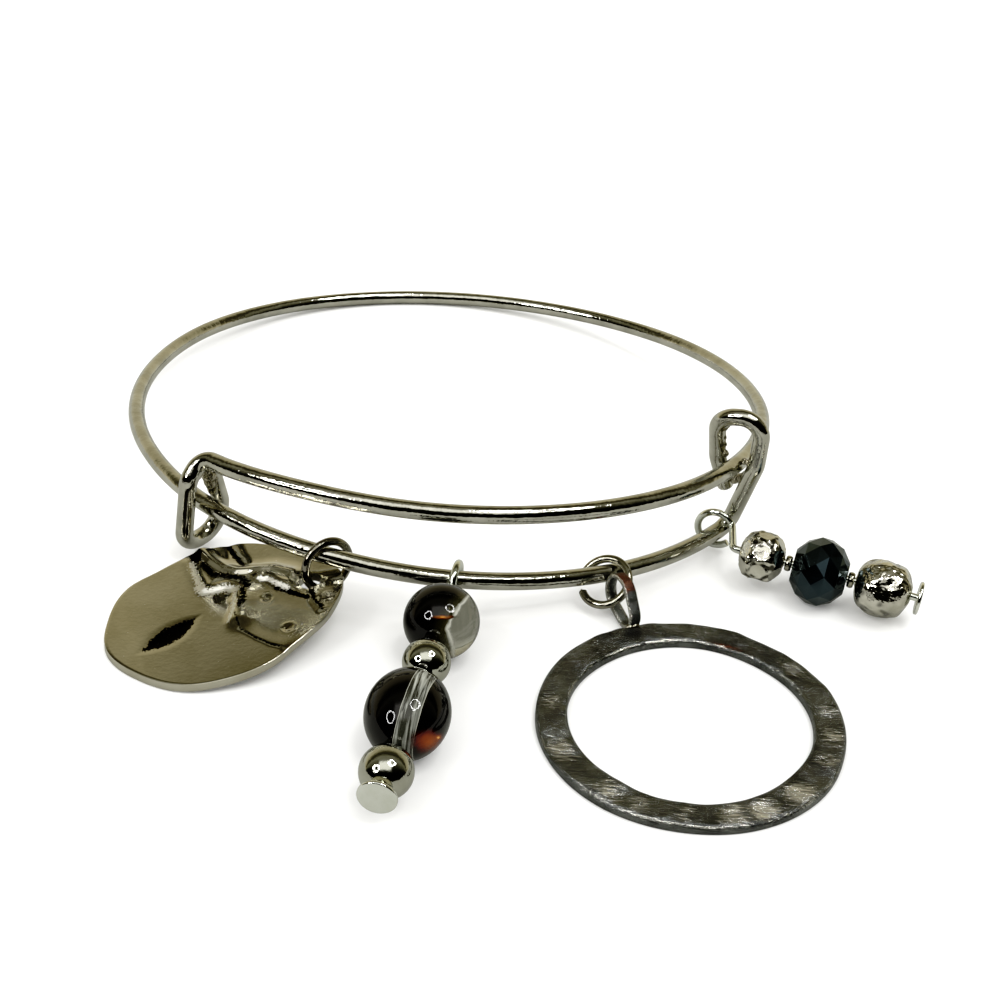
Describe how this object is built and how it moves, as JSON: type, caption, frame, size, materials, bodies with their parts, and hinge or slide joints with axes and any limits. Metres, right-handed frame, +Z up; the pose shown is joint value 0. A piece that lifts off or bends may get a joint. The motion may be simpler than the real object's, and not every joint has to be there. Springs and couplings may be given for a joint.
{
  "type": "charm bangle",
  "caption": "Expandable wire bangle with sliding end wraps, a wavy disc, a hammered hoop and two beaded drops lying beside it.",
  "frame": {"origin": "centre of the wrist opening, on the surface that the bangle lies on", "axes": "+Z up from the surface, along the wrist; -Y towards the overlapping rails and their charms; +X to the right as seen from the charms"},
  "size_m": [0.0781, 0.0928, 0.0163],
  "materials": {
    "wire_nickel": "polished, warm nickel plate",
    "dark_ring_metal": "polished dark nickel",
    "disc_metal": "polished olive-grey plate with folds",
    "ring_nickel": "polished nickel",
    "hoop_gunmetal": "hammered and brushed gunmetal, worn rims",
    "pin_metal": "polished",
    "round_glass": "dark glass with clear streaks",
    "ball_metal": "mirror polish",
    "oval_glass": "dark glass with a clear band and an orange-red patch",
    "dimpled_silver": "polished with round dimples",
    "seed_metal": "polished",
    "black_glass": "cut black glass",
    "hammered_silver": "polished, cast nugget texture"
  },
  "bodies": {
    "root": {"bangle_wire": "wire_nickel", "disc_jump_ring": "dark_ring_metal", "wavy_disc": "disc_metal", "hoop_jump_ring": "ring_nickel", "hammered_hoop": "hoop_gunmetal", "glass_drop_pin": "pin_metal", "round_glass_bead": "round_glass", "upper_ball_bead": "ball_metal", "oval_glass_bead": "oval_glass", "lower_ball_bead": "ball_metal", "faceted_drop_pin": "pin_metal", "small_silver_bead": "dimpled_silver", "inner_seed_bead": "seed_metal", "black_faceted_bead": "black_glass", "outer_seed_bead": "seed_metal", "large_silver_bead": "hammered_silver"}
  },
  "joints": []
}
